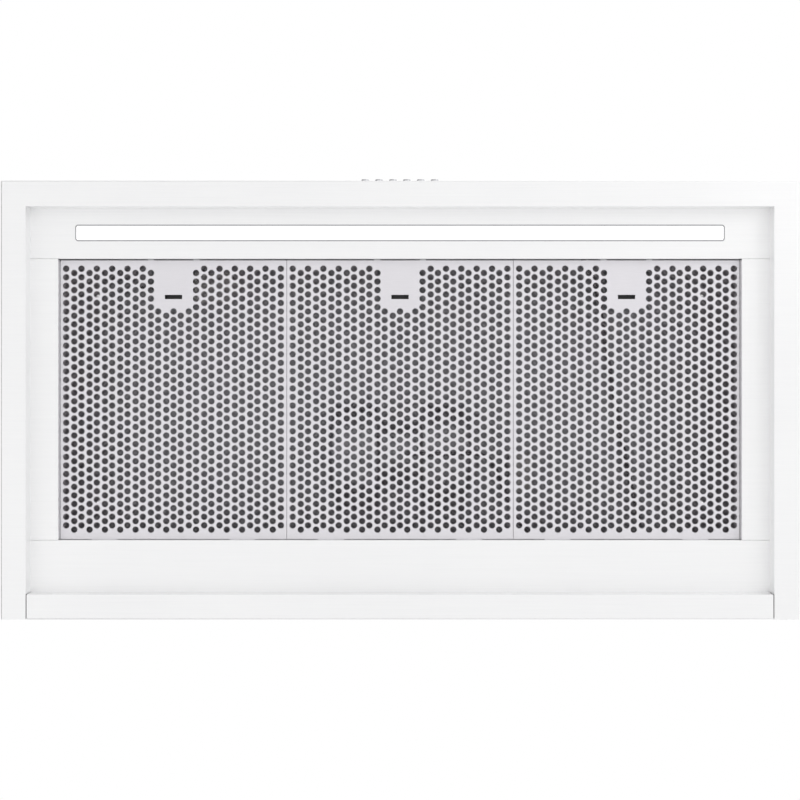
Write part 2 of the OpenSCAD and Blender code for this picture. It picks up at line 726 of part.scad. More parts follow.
// Fan wheel in the right scroll: blades between two rings, and a disc with a hub
module wheel() color(zinc) {
    start = motor_half + scroll_t + wheel_gap;
    middle = start + wheel_w / 2;
    blade = [for (i = [0:4]) let (r = wheel_r - blade_depth + blade_depth * i / 4, a = 14 * pow(i / 4, 2) - 7)
        [r * cos(a), r * sin(a)]];
    tip = blade_t / wheel_r * 180 / PI;
    twin = [for (i = [4:-1:0]) let (r = wheel_r - blade_depth + blade_depth * i / 4, a = 14 * pow(i / 4, 2) - 7 + tip)
        [r * cos(a), r * sin(a)]];
    translate([0, blower_y, blower_z]) rotate([90, 0, 90]) {
        for (i = [0:blade_count - 1]) rotate([0, 0, 360 * i / blade_count])
            translate([0, 0, start]) linear_extrude(wheel_w) polygon(concat(blade, twin));
        for (x = [start, start + wheel_w - wheel_ring_t]) translate([0, 0, x]) difference() {
            cylinder(r = wheel_r + 0.5, h = wheel_ring_t, $fn = fine);
            translate([0, 0, -over]) cylinder(r = wheel_r - blade_depth + 1.5, h = wheel_ring_t + 2 * over, $fn = fine);
        }
        difference() {
            union() {
                translate([0, 0, middle - 0.6]) cylinder(r = wheel_r - 1, h = wheel_ring_t, $fn = fine);
                translate([0, 0, middle - 12]) cylinder(r = hub_r, h = 24, $fn = fine);
            }
            translate([0, 0, middle - 20]) cylinder(r = shaft_r, h = 40, $fn = fine);
        }
    }
}

module left_wheel() mirror([1, 0, 0]) wheel();

module right_wheel() wheel();

// Outline of the scroll up to height top, drawn in by inset
module scroll_outline(inset, top) {
    polygon(concat(spiral_points(inset), [[scroll_r * (1 + spiral_growth) - inset, top],
        [scroll_r * tongue_ratio + inset, top]]));
}

// Sheet casing of the right scroll, open at its inlets and at the outlet
module scroll_case() color(zinc) translate([motor_half, blower_y, blower_z]) rotate([90, 0, 90]) difference() {
    linear_extrude(scroll_w) scroll_outline(0, z_plate - blower_z);
    translate([0, 0, scroll_t]) linear_extrude(scroll_w - 2 * scroll_t) scroll_outline(scroll_t, z_plate - blower_z + over);
    translate([0, 0, -over]) cylinder(r = inlet_r, h = scroll_w + 2 * over, $fn = fine);
}

module left_scroll() mirror([1, 0, 0]) scroll_case();

module right_scroll() scroll_case();

// Rolled inlet ring on the outer cheek of the right scroll
module inlet_ring() color(zinc) translate([motor_half + scroll_w, blower_y, blower_z]) rotate([0, 90, 0])
    rotate_extrude($fn = fine) translate([inlet_r + 5, 0]) intersection() {
        difference() {
            circle(r = 5, $fn = fine);
            circle(r = 4, $fn = fine);
        }
        translate([-5, 0]) square([10, 5]);
    }

module left_inlet_ring() mirror([1, 0, 0]) inlet_ring();

module right_inlet_ring() inlet_ring();

// Plate under the top panel that the scrolls and the motor hang from
module outlet_plate() color(zinc) difference() {
    block([-plate_half_x, plate_half_x], [duct_y - plate_half_y, duct_y + plate_half_y], [z_plate, z_panel]);
    for (s = [0, 1]) mirror([s, 0, 0]) block([motor_half + scroll_t, motor_half + scroll_w - scroll_t],
        [duct_y - outlet_d / 2 + scroll_t, duct_y + outlet_d / 2 - scroll_t], [z_plate - over, over]);
    holes_at(blower_screw_points, screw_r + screw_gap, [z_plate - over, over]);
    holes_at(collar_screw_points, screw_r + screw_gap, [z_plate - over, over]);
}

// Round duct spigot with a flange, a bead and the ledge that the flaps close on
module duct_collar() color(zinc) translate([0, duct_y, 0]) {
    ledge_z = pin_z - flap_low - 0.3;
    difference() {
        union() {
            cylinder(r = collar_r, h = collar_h, $fn = 2 * fine);
            cylinder(r = collar_flange_r, h = sheet_t, $fn = 2 * fine);
        }
        translate([0, 0, -over]) cylinder(r = collar_in_r, h = collar_h + 2 * over, $fn = 2 * fine);
        rod_x([-collar_flange_r, collar_flange_r], 0, pin_z, pin_r);
        holes_at([for (p = collar_screw_points) [p[0], p[1] - duct_y]], screw_r + screw_gap, [-over, sheet_t + over]);
    }
    translate([0, 0, ledge_z - 1]) difference() {
        cylinder(r = collar_in_r, h = 1, $fn = 2 * fine);
        translate([0, 0, -over]) cylinder(r = collar_in_r - ledge_w, h = 1 + 2 * over, $fn = 2 * fine);
    }
}

module damper_pin() color(zinc) rod_x([-collar_r + 0.3, collar_r - 0.3], duct_y, pin_z, pin_r);

// Half-round flap on the wall side, with knuckles round the pin starting at the given places
module flap(starts) color(zinc) translate([0, duct_y, pin_z]) difference() {
    union() {
        translate([0, 0, -flap_low]) linear_extrude(flap_t) intersection() {
            circle(r = flap_r, $fn = 2 * fine);
            translate([-flap_r, 0.5]) square([2 * flap_r, flap_r]);
        }
        for (x = starts) {
            rod_x([x, x + knuckle_l], 0, 0, knuckle_r);
            block([x, x + knuckle_l], [0.5, 2.5], [-flap_low + flap_t / 2, -2]);
        }
    }
    rod_x([-collar_r, collar_r], 0, 0, pin_r + knuckle_gap);
}

module rear_flap() flap([-60, 20]);

module front_flap() translate([0, 2 * duct_y, 0]) mirror([0, 1, 0]) flap([-38, 42]);

// Wiring box under the top panel, open below
module junction_box() color(zinc) translate([box_x, box_y, z_panel]) difference() {
    block([-box_half_x, box_half_x], [-box_half_y, box_half_y], [-box_h, 0]);
    block([-box_half_x + sheet_t, box_half_x - sheet_t], [-box_half_y + sheet_t, box_half_y - sheet_t],
        [-box_h - over, -sheet_t]);
    translate([0, 0, -sheet_t - over]) cylinder(r = bush_r, h = sheet_t + 2 * over, $fn = fine);
}

module junction_cover() color(zinc) translate([box_x, box_y, z_panel - box_h])
    block([-box_half_x - 1, box_half_x + 1], [-box_half_y - 1, box_half_y + 1], [-sheet_t, 0]);

module terminal_block() color("ivory") translate([box_x + 32, box_y, z_panel - sheet_t]) difference() {
    block([-9, 9], [-22, 22], [-14, 0]);
    for (i = [-2:2]) translate([0, i * 8, -14 - over]) cylinder(r = 2.2, h = 8, $fn = 24);
}

// Snap-in bush for the supply cable, through the top panel and the wiring box
module cable_bush() color(dark) translate([box_x, box_y, 0]) difference() {
    union() {
        cylinder(r = bush_flange_r, h = 2, $fn = fine);
        translate([0, 0, -2 * sheet_t]) cylinder(r = bush_r, h = 2 * sheet_t, $fn = fine);
        translate([0, 0, -2 * sheet_t - 2]) cylinder(r1 = bush_r, r2 = bush_r + 1, h = 2, $fn = fine);
    }
    translate([0, 0, -2 * sheet_t - 2 - over]) cylinder(r = cable_r, h = 2 * sheet_t + 4 + 2 * over, $fn = fine);
}

module capacitor() color("white") translate([capacitor_x, duct_y - 20, z_panel]) {
    block([-14, 14], [-24, 24], [-34, 0]);
    block([-5, 5], [24, 38], [-1.5, 0]);
}

module control_lead() color(dark) tube(route(control_lead_points, 5), lead_r, 8, [1, 0.2, 0.1]);

module motor_lead() color(dark) tube(route(motor_lead_points, 5), lead_r, 8, [0.1, 1, 0.2]);

module lamp_lead() color("white") tube(route(lamp_lead_points, 5), lead_r - 1, 8, [0.1, 1, 0.2]);

module panel_screws() color(zinc) pan_screws(panel_screw_points, screw_l);

module blower_screws() color(zinc) pan_screws(blower_screw_points, screw_l);

module collar_screws() color(zinc) translate([0, 0, sheet_t]) pan_screws(collar_screw_points, screw_l);

canopy_shell();
top_panel();
rear_panel();
front_liner();
rear_liner();
left_liner();
right_liner();
lamp_lens();
lamp_seal();
lamp_channel();
led_board();
led_driver();
left_filter_tray();
centre_filter_tray();
right_filter_tray();
left_filter_mesh();
centre_filter_mesh();
right_filter_mesh();
left_latch_channel();
centre_latch_channel();
right_latch_channel();
left_latch();
centre_latch();
right_latch();
left_latch_springs();
centre_latch_springs();
right_latch_springs();
power_button();
timer_button();
low_button();
medium_button();
high_button();
light_button();
control_housing();
control_board();
motor_housing();
motor_stator();
motor_rotor();
motor_shaft();
motor_bracket();
left_wheel();
right_wheel();
left_scroll();
right_scroll();
left_inlet_ring();
right_inlet_ring();
outlet_plate();
duct_collar();
damper_pin();
front_flap();
rear_flap();
junction_box();
junction_cover();
terminal_block();
cable_bush();
capacitor();
control_lead();
motor_lead();
lamp_lead();
panel_screws();
collar_screws();
blower_screws();
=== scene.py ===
import json
import math

import bmesh
import bpy
from mathutils import Matrix, Vector


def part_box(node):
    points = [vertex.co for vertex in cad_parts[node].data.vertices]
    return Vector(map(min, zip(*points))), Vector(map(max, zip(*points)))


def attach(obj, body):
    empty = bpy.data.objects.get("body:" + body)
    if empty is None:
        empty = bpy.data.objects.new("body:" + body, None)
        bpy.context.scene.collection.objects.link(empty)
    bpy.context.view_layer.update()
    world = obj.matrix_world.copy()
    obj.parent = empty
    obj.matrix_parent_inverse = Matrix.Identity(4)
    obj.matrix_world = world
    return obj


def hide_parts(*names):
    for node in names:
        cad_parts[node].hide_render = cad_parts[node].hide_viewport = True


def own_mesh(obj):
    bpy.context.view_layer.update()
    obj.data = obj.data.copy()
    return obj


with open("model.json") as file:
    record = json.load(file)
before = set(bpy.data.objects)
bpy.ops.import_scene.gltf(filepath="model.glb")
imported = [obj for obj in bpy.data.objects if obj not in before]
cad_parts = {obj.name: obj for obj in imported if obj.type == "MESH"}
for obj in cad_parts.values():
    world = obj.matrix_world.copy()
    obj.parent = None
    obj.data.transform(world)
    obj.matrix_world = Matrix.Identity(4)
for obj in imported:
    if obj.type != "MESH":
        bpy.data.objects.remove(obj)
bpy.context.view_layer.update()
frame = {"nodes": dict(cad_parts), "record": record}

mm = 0.001
weld = 0.001 * mm      # points closer than this are one point
nodes = frame["nodes"]
record = frame["record"]
bodyLow, bodyHigh = (Vector(corner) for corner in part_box("canopy_shell"))
rimZ = bodyLow.z
sides = ("left", "centre", "right")
print("frame loaded:", len(nodes), "nodes")

# the camera hangs under the middle of the hood and looks straight up, front edge at the top
camera = {"distance": 1.65, "focal": 65.1, "sensor": 36.0}

cameraData = bpy.data.cameras.new("camera")
cameraData.lens = camera["focal"]
cameraData.sensor_width = camera["sensor"]
cameraData.clip_end = 50
cameraObject = bpy.data.objects.new("camera", cameraData)
cameraObject.location = (0, (bodyLow.y + bodyHigh.y) / 2, rimZ - camera["distance"])
cameraObject.rotation_euler = (math.pi, 0, 0)
bpy.context.scene.collection.objects.link(cameraObject)
bpy.context.scene.camera = cameraObject


def linear(channel):
    return channel / 12.92 if channel <= 0.04045 else ((channel + 0.055) / 1.055) ** 2.4


def colour(hexValue):
    # sRGB hex to linear
    return tuple(linear(int(hexValue[i:i + 2], 16) / 255) for i in (1, 3, 5)) + (1.0,)


def addNode(tree, kind, values=None, inputs=None):
    node = tree.nodes.new(kind)
    for name, value in (values or {}).items():
        setattr(node, name, value)
    for name, value in (inputs or {}).items():
        if isinstance(value, bpy.types.NodeSocket):
            tree.links.new(value, node.inputs[name])
        else:
            node.inputs[name].default_value = value
    return node


def newMaterial(name, **constants):
    material = bpy.data.materials.new(name)
    material.use_nodes = True
    tree = material.node_tree
    tree.nodes.clear()
    shader = addNode(tree, "ShaderNodeBsdfPrincipled", inputs=constants)
    addNode(tree, "ShaderNodeOutputMaterial", inputs={"Surface": shader.outputs[0]})
    place = addNode(tree, "ShaderNodeTexCoord")
    return material, tree, shader, place


def noise(tree, vector, sizeMm, detail=2.0):
    # sizeMm is one size, or one for each axis
    sizes = sizeMm if isinstance(sizeMm, tuple) else (sizeMm,) * 3
    scaled = addNode(tree, "ShaderNodeMapping", inputs={
        "Vector": vector, "Scale": tuple(1 / (size * mm) for size in sizes)})
    return addNode(tree, "ShaderNodeTexNoise", inputs={
        "Vector": scaled.outputs[0], "Scale": 1.0, "Detail": detail}).outputs[0]


def blendFloat(tree, factor, first, second):
    return addNode(tree, "ShaderNodeMix", {"data_type": "FLOAT"}, {0: factor, 2: first, 3: second}).outputs[0]


def finishSurface(tree, shader, pattern, look, relief=None):
    # one pattern moves colour and gloss together, and relief drives a fine bump
    tint = addNode(tree, "ShaderNodeMix", {"data_type": "RGBA"}, {
        0: pattern, 6: colour(look["dark"]), 7: colour(look["light"])})
    gloss = addNode(tree, "ShaderNodeMapRange", inputs={
        "Value": pattern, "To Min": look["roughness"][0], "To Max": look["roughness"][1]})
    tree.links.new(tint.outputs[2], shader.inputs["Base Color"])
    tree.links.new(gloss.outputs[0], shader.inputs["Roughness"])
    if relief is not None:
        bump = addNode(tree, "ShaderNodeBump", inputs={
            "Height": relief, "Strength": look["bump"], "Distance": look["bumpMm"] * mm})
        if "rolledMm" in look:  # punched edges rolled over by the press
            rolled = addNode(tree, "ShaderNodeBevel", {"samples": 6}, {"Radius": look["rolledMm"] * mm})
            tree.links.new(rolled.outputs[0], bump.inputs["Normal"])
        tree.links.new(bump.outputs[0], shader.inputs["Normal"])


# 304 stainless sheet, belt brushed along its length: fine long streaks that part the gloss, under a broad faint cloud
# the belt lines are 0.1 mm apart in life, and 0.9 mm here so that they show
def brushedStainless(name, look):
    material, tree, shader, place = newMaterial(name, Metallic=1.0)
    here = place.outputs["Object"]
    streaksX = noise(tree, here, (look["streakMm"], look["lineMm"], look["lineMm"]), 4.0)
    streaksY = noise(tree, here, (look["lineMm"], look["streakMm"], look["lineMm"]), 4.0)
    facing = addNode(tree, "ShaderNodeSeparateXYZ", inputs={"Vector": place.outputs["Normal"]})
    sideFrom = 0.7    # past this much of a turn to the side, the streaks run front to rear
    sideways = addNode(tree, "ShaderNodeMath", {"operation": "ABSOLUTE"}, {0: facing.outputs["X"]})
    onSide = addNode(tree, "ShaderNodeMath", {"operation": "GREATER_THAN"}, {
        0: sideways.outputs[0], 1: sideFrom})
    streaks = blendFloat(tree, onSide.outputs[0], streaksX, streaksY)
    pattern = blendFloat(tree, look["cloud"], streaks, noise(tree, here, look["cloudMm"]))
    finishSurface(tree, shader, pattern, look, streaks)
    return material


# hot dip galvanised sheet: flat zinc crystals about 9 mm across, each with its own shade and gloss
def galvanisedSheet(name, look):
    material, tree, shader, place = newMaterial(name, Metallic=1.0)
    wobble = noise(tree, place.outputs["Object"], look["wobbleMm"])
    bent = addNode(tree, "ShaderNodeVectorMath", {"operation": "MULTIPLY_ADD"}, {
        0: wobble, 1: (look["bendMm"] * mm,) * 3, 2: place.outputs["Object"]})
    crystals = addNode(tree, "ShaderNodeTexVoronoi", inputs={
        "Vector": bent.outputs[0], "Scale": 1 / (look["crystalMm"] * mm)})
    shade = addNode(tree, "ShaderNodeSeparateXYZ", inputs={"Vector": crystals.outputs["Color"]})
    fine = noise(tree, place.outputs["Object"], look["fineMm"], 3.0)
    pattern = blendFloat(tree, look["fineShare"], shade.outputs[0], fine)
    finishSurface(tree, shader, pattern, look, fine)
    return material


# turned or ground bar: fine rings left by the tool along its axis
def turnedSteel(name, look):
    material, tree, shader, place = newMaterial(name, Metallic=1.0)
    rings = noise(tree, place.outputs["Object"], look["ringMm"], 3.0)
    finishSurface(tree, shader, rings, look, rings)
    return material


# injection moulded polymer or rubber: an even colour with the fine spark eroded grain of the mould
def mouldedPolymer(name, look):
    material, tree, shader, place = newMaterial(name)
    grit = noise(tree, place.outputs["Object"], look["gritMm"], 3.0)
    driftShare, driftSpread = 0.4, 30    # a broad drift of shade under the grain
    drift = noise(tree, place.outputs["Object"], look["gritMm"] * driftSpread)
    finishSurface(tree, shader, blendFloat(tree, driftShare, grit, drift), look, grit)
    return material


# opal acrylic with light behind it: an even white glow under a fine frosted skin
def litAcrylic(name, look):
    material, tree, shader, place = newMaterial(name, **{
        "Emission Color": colour(look["light"]), "Emission Strength": look["glow"], "IOR": 1.49})
    frost = noise(tree, place.outputs["Object"], look["gritMm"])
    finishSurface(tree, shader, frost, look, frost)
    return material


# enamelled copper wire laid in even turns, 0.8 mm thick
def woundCopper(name, look):
    material, tree, shader, place = newMaterial(name, Metallic=0.9)
    bandScale = 2 * math.pi / 20    # gives the wave texture one band for each unit
    turns = addNode(tree, "ShaderNodeTexWave", {"bands_direction": "X"}, {
        "Vector": place.outputs["Object"], "Scale": bandScale / (look["wireMm"] * mm), "Distortion": 0.5})
    finishSurface(tree, shader, turns.outputs[1], look, turns.outputs[1])
    return material


finishes = {
    "brushed_steel": (brushedStainless, {
        "dark": "#F2F2F3", "light": "#FDFDFD", "lineMm": 0.9, "streakMm": 90, "cloud": 0.4, "cloudMm": 170,
        "roughness": (0.34, 0.44), "bump": 0.06, "bumpMm": 0.05}),
    "filter_steel": (brushedStainless, {
        "dark": "#DEDCE0", "light": "#EAE8EC", "lineMm": 0.9, "streakMm": 14, "cloud": 0.4, "cloudMm": 70,
        "roughness": (0.4, 0.5), "bump": 0.06, "bumpMm": 0.05, "rolledMm": 0.6}),
    "latch_steel": (brushedStainless, {
        "dark": "#D2D2D4", "light": "#E6E6E8", "lineMm": 0.6, "streakMm": 10, "cloud": 0.3, "cloudMm": 20,
        "roughness": (0.3, 0.4), "bump": 0.06, "bumpMm": 0.05}),
    "filter_mesh": (brushedStainless, {
        "dark": "#A29CA0", "light": "#C4BEC2", "lineMm": 0.8, "streakMm": 4, "cloud": 0.5, "cloudMm": 14,
        "roughness": (0.35, 0.5), "bump": 0.1, "bumpMm": 0.05}),
    "aluminium": (brushedStainless, {
        "dark": "#C4C6C8", "light": "#D6D8DA", "lineMm": 0.7, "streakMm": 120, "cloud": 0.2, "cloudMm": 80,
        "roughness": (0.34, 0.44), "bump": 0.08, "bumpMm": 0.05}),
    "galvanised_steel": (galvanisedSheet, {
        "dark": "#A4A8AD", "light": "#C6C9CD", "crystalMm": 9, "wobbleMm": 5.4, "bendMm": 3.6,
        "fineMm": 0.8, "fineShare": 0.25, "roughness": (0.34, 0.5), "bump": 0.1, "bumpMm": 0.03}),
    "button_steel": (turnedSteel, {
        "dark": "#B4B4B8", "light": "#D2D2D5", "ringMm": (0.35, 6.0, 0.35), "roughness": (0.24, 0.36),
        "bump": 0.1, "bumpMm": 0.02}),
    "shaft_steel": (turnedSteel, {
        "dark": "#989A9E", "light": "#BEC0C4", "ringMm": (0.4, 4.0, 4.0), "roughness": (0.25, 0.4),
        "bump": 0.1, "bumpMm": 0.02}),
    "lamp_lens": (litAcrylic, {
        "dark": "#F7F7F5", "light": "#FFFFFF", "gritMm": 0.8, "roughness": (0.35, 0.45), "glow": 1.1,
        "bump": 0.05, "bumpMm": 0.05}),
    "dark_rubber": (mouldedPolymer, {
        "dark": "#A8A8AB", "light": "#B8B8BB", "gritMm": 0.5, "roughness": (0.6, 0.75), "bump": 0.2, "bumpMm": 0.05}),
    "circuit_board": (mouldedPolymer, {
        "dark": "#14502E", "light": "#1D6B3F", "gritMm": 2.0, "roughness": (0.28, 0.42),
        "bump": 0.1, "bumpMm": 0.05}),
    "white_plastic": (mouldedPolymer, {
        "dark": "#DCDBD6", "light": "#E9E8E3", "gritMm": 0.5, "roughness": (0.4, 0.55), "bump": 0.2, "bumpMm": 0.05}),
    "grey_plastic": (mouldedPolymer, {
        "dark": "#8E9092", "light": "#A0A2A4", "gritMm": 0.5, "roughness": (0.45, 0.6), "bump": 0.2, "bumpMm": 0.05}),
    "black_plastic": (mouldedPolymer, {
        "dark": "#141415", "light": "#242426", "gritMm": 0.5, "roughness": (0.4, 0.55), "bump": 0.2, "bumpMm": 0.05}),
    "grey_cable": (mouldedPolymer, {
        "dark": "#3C3D40", "light": "#525357", "gritMm": 0.4, "roughness": (0.4, 0.5), "bump": 0.15, "bumpMm": 0.04}),
    "copper_winding": (woundCopper, {
        "dark": "#8A4A22", "light": "#C8824A", "wireMm": 0.8, "roughness": (0.28, 0.42), "bump": 0.5, "bumpMm": 0.3}),
}
materials = {slot: make(slot, look) for slot, (make, look) in finishes.items()}

slotOf = {part["node"]: part["material_slot"] for part in record["subparts"]}
for name, node in nodes.items():
    node.data.materials.clear()
    node.data.materials.append(materials[slotOf[name]])
print("materials made:", len(materials))

bodyOf = {name: body for body, names in record["behaviour"]["bodies"].items() for name in names}


def placePiece(name, shape, node, smooth=True):
    # a finished shape stands for one CAD node and rides on its body
    mesh = bpy.data.meshes.new(name)
    shape.to_mesh(mesh)
    shape.free()
    mesh.materials.append(materials[slotOf[node]])
    if smooth:
        mesh.shade_smooth()
    piece = bpy.data.objects.new(name, mesh)
    bpy.context.scene.collection.objects.link(piece)
    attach(piece, bodyOf[node])
    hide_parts(node)
    return piece


def addMesh(shape, other):
    # joins a second bmesh into the first
    mesh = bpy.data.meshes.new("part")
    other.to_mesh(mesh)
    other.free()
    shape.from_mesh(mesh)
    bpy.data.meshes.remove(mesh)


def solidBoxes(node):
    # lowest and highest corner of each separate solid in a node
    shape = bmesh.new()
    shape.from_mesh(nodes[node].data)
    bmesh.ops.remove_doubles(shape, verts=shape.verts, dist=weld)
    seen, boxes = set(), []
    for first in shape.verts:
        if first in seen:
            continue
        seen.add(first)
        waiting, corners = [first], []
        while waiting:
            vert = waiting.pop()
            corners.append(vert.co.copy())
            for edge in vert.link_edges:
                other = edge.other_vert(vert)
                if other not in seen:
                    seen.add(other)
                    waiting.append(other)
        boxes.append((Vector([min(c[i] for c in corners) for i in range(3)]),
                      Vector([max(c[i] for c in corners) for i in range(3)])))
    shape.free()
    return boxes


# grease mesh: layers of expanded aluminium foil, wavy strands that meet at every bond
greaseMesh = {
    "bondMm": 5.6,         # along a strand, from bond to bond
    "rowMm": 2.9,          # from strand to strand
    "strandMm": 0.6,       # width of a strand
    "foilMm": 0.16,
    "tiltMm": 0.4,         # how far one edge of a strand is lifted
    "layersMm": (1.6, 3.4),  # height of each layer over the tray's face
    "clearMm": 1.7,        # kept free round the latch
}


def foilLayer(shape, low, high, height, shift):
    step, row = greaseMesh["bondMm"] * mm / 2, greaseMesh["rowMm"] * mm
    half = greaseMesh["strandMm"] * mm / 2
    columns, rows = int((high.x - low.x) / step), int((high.y - low.y) / row) - 1
    strand = bmesh.ops.create_grid(shape, x_segments=columns, y_segments=1, size=1)["verts"]
    bmesh.ops.scale(shape, verts=strand, vec=(columns * step / 2, half, 1))
    wave = row / 2 - half
    for vert in strand:
        column = round(vert.co.x / step + columns / 2)
        vert.co.z = math.copysign(greaseMesh["tiltMm"] * mm / 2, vert.co.y)
        vert.co.y += wave if (column + shift) % 2 else -wave
    bmesh.ops.translate(shape, verts=strand, vec=((low.x + high.x) / 2, low.y + row, height))
    faces = list({face for vert in strand for face in vert.link_faces})
    for index in range(1, rows):
        copied = bmesh.ops.duplicate(shape, geom=faces)["geom"]
        verts = [item for item in copied if isinstance(item, bmesh.types.BMVert)]
        if index % 2:  # every other strand is its neighbour half a bond along
            for vert in verts:
                column = round((vert.co.x - (low.x + high.x) / 2) / step + columns / 2)
                vert.co.y -= 2 * (wave if (column + shift) % 2 else -wave)
        bmesh.ops.translate(shape, verts=verts, vec=(0, index * row, 0))


for side in sides:
    node = side + "_filter_mesh"
    low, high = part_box(node)
    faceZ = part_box(side + "_filter_tray")[0].z
    channelLow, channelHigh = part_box(side + "_latch_channel")
    latchLow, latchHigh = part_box(side + "_latch")
    clear = greaseMesh["clearMm"] * mm
    shape = bmesh.new()
    for shift, height in enumerate(greaseMesh["layersMm"]):
        foilLayer(shape, low, high, faceZ + height * mm, shift)
    inTheWay = []
    for face in shape.faces:
        centre = face.calc_center_median()
        atChannel = channelLow.x - clear < centre.x < channelHigh.x + clear and centre.y < channelHigh.y + clear
        atBar = latchLow.x - clear < centre.x < latchHigh.x + clear and centre.y < channelLow.y + clear
        if atChannel or atBar:
            inTheWay.append(face)
    bmesh.ops.delete(shape, geom=inTheWay, context="FACES")
    bmesh.ops.solidify(shape, geom=shape.faces[:], thickness=greaseMesh["foilMm"] * mm)
    placePiece(node + "_foil", shape, node, smooth=False)
print("grease mesh made")

# latch springs: round music wire wound in an even helix
latchSpring = {"wireMm": 0.6, "turns": 5, "stepsPerTurn": 24, "wireSides": 8}

for side in sides:
    node = side + "_latch_springs"
    shape = bmesh.new()
    for low, high in solidBoxes(node):
        wire = latchSpring["wireMm"] * mm / 2
        middle = (low + high) / 2
        steps = latchSpring["turns"] * latchSpring["stepsPerTurn"]
        length = high.y - low.y - 2 * wire
        section = bmesh.ops.create_circle(
            shape, cap_ends=True, segments=latchSpring["wireSides"], radius=wire)["verts"]
        bmesh.ops.translate(shape, verts=section, vec=(high.x - wire, low.y + wire, middle.z))
        cap = list({face for vert in section for face in vert.link_faces})
        bmesh.ops.spin(shape, geom=cap, cent=(middle.x, low.y + wire, middle.z), axis=(0, 1, 0),
                       dvec=(0, length / steps, 0), angle=2 * math.pi * latchSpring["turns"], steps=steps)
    openEnds = [edge for edge in shape.edges if edge.is_boundary]
    bmesh.ops.holes_fill(shape, edges=openEnds, sides=latchSpring["wireSides"])
    bmesh.ops.recalc_face_normals(shape, faces=shape.faces)
    low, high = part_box(node)
    piece = placePiece(node + "_wire", shape, node)
    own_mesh(piece)
print("latch springs made")

# push buttons: turned caps with a soft edge, a shallow finger dish and a flange behind the sheet
button = {
    "edgeMm": 0.7, "dishMm": 0.35,
    "dishShare": 0.72,      # of the cap's radius
    "flangeMm": 1.0, "lipMm": 1.0,
    "flangeSetMm": 1.35,    # from the outer face of the front to the flange
    "steps": 64, "arcSteps": 6, "sharpDegrees": 40,
}


def lathe(outline, centre, axis, steps):
    # outline is a list of (distance along the axis, radius), and a closed solid comes back
    shape = bmesh.new()
    across = Vector((0, 0, 1)) if abs(axis[2]) < 0.5 else Vector((1, 0, 0))
    verts = [shape.verts.new(centre + Vector(axis) * along + across * radius) for along, radius in outline]
    edges = [shape.edges.new(pair) for pair in zip(verts, verts[1:])]
    bmesh.ops.spin(shape, geom=verts + edges, cent=centre, axis=axis, angle=2 * math.pi, steps=steps, use_merge=True)
    bmesh.ops.remove_doubles(shape, verts=shape.verts, dist=5 * weld)
    bmesh.ops.recalc_face_normals(shape, faces=shape.faces)
    return shape


for name in ("power", "timer", "low", "medium", "high", "light"):
    node = name + "_button"
    low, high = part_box(node)
    centre = Vector(((low.x + high.x) / 2, low.y, (low.z + high.z) / 2))
    flange = (high.x - low.x) / 2
    radius = flange - button["lipMm"] * mm
    edge, dish, rim = button["edgeMm"] * mm, button["dishMm"] * mm, radius * button["dishShare"]
    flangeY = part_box("canopy_shell")[0].y + button["flangeSetMm"] * mm - low.y
    flangeEnd, rear = flangeY + button["flangeMm"] * mm, high.y - low.y
    turn = [math.pi / 2 * i / button["arcSteps"] for i in range(button["arcSteps"] + 1)]
    outline = [(dish, 0)]
    outline += [(dish * math.cos(angle), rim * math.sin(angle)) for angle in turn[1:]]
    outline += [(edge * (1 - math.cos(angle)), radius - edge + edge * math.sin(angle)) for angle in turn]
    outline += [(flangeY, radius), (flangeY, flange), (flangeEnd, flange), (flangeEnd, radius),
                (rear, radius), (rear, 0)]
    piece = placePiece(node + "_cap", lathe(outline, centre, (0, 1, 0), button["steps"]), node)
    piece.data.set_sharp_from_angle(angle=math.radians(button["sharpDegrees"]))
print("buttons made")

# pan head screws with a cross recess
panScrew = {
    "headMm": 1.8, "landMm": 1.95, "crownMm": 0.75,
    "shankMm": 1.9,         # radius
    "tipMm": 0.6, "tipShare": 0.6,
    "crossMm": 3.6, "slotMm": 0.9, "recessMm": 1.0, "recessTaper": 0.8,
    "steps": 24, "arcSteps": 5, "sharpDegrees": 35,
}


